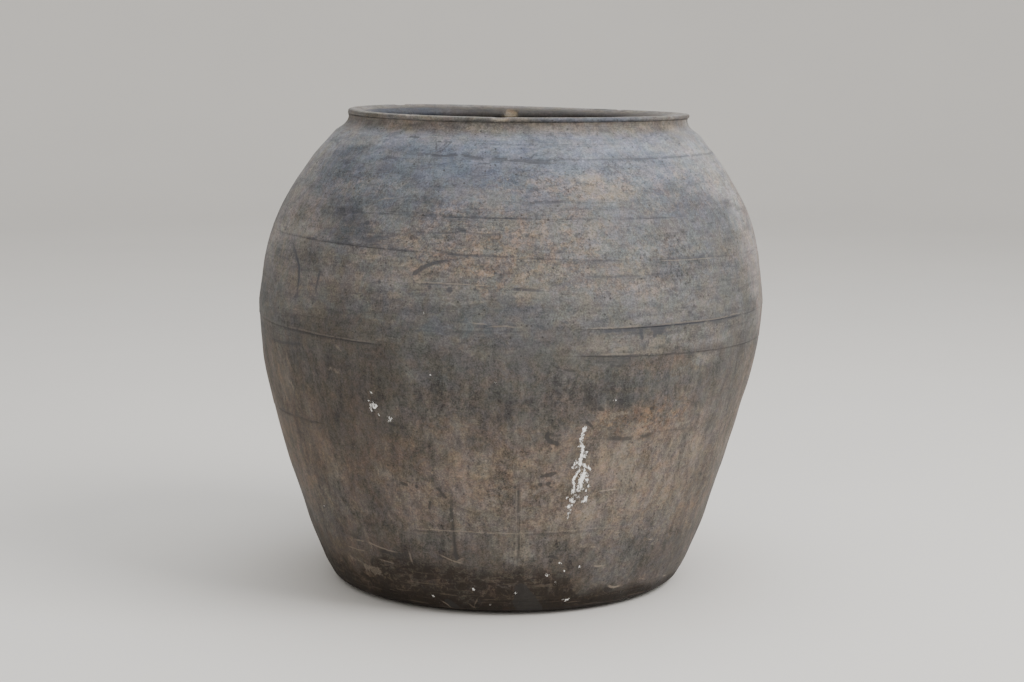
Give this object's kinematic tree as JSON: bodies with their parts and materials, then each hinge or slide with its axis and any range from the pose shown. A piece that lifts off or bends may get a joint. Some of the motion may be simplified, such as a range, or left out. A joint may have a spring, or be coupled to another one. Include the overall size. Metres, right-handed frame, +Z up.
{
  "type": "clay storage jar",
  "caption": "Hand-built round clay storage jar with a broad flat foot, full shoulder, short concave collar and wide flat lip, for keeping water or dry food.",
  "frame": {"origin": "on the ground under the middle of the jar's bounding box", "axes": "+Z up through the mouth, the front of the jar faces -Y, +X is the side towards which the jar leans"},
  "size_m": [0.4941, 0.494, 0.4628],
  "materials": {
    "soot_clay": "unglazed, soot darkened, matte",
    "brown_clay": "unglazed, wiped, matte",
    "grey_clay": "unglazed, mottled, matte",
    "slate_clay": "unglazed, smoked, matte with a faint sheen",
    "collar_clay": "unglazed, matte",
    "lip_clay": "unglazed, worn by handling, matte"
  },
  "bodies": {
    "root": {"base_slab": "soot_clay", "foot_course": "soot_clay", "lower_course": "brown_clay", "middle_course": "brown_clay", "belly_band": "grey_clay", "upper_belly_course": "grey_clay", "lower_shoulder_course": "grey_clay", "middle_shoulder_course": "grey_clay", "upper_shoulder_course": "slate_clay", "neck_collar": "collar_clay", "rim_lip": "lip_clay"}
  },
  "joints": []
}
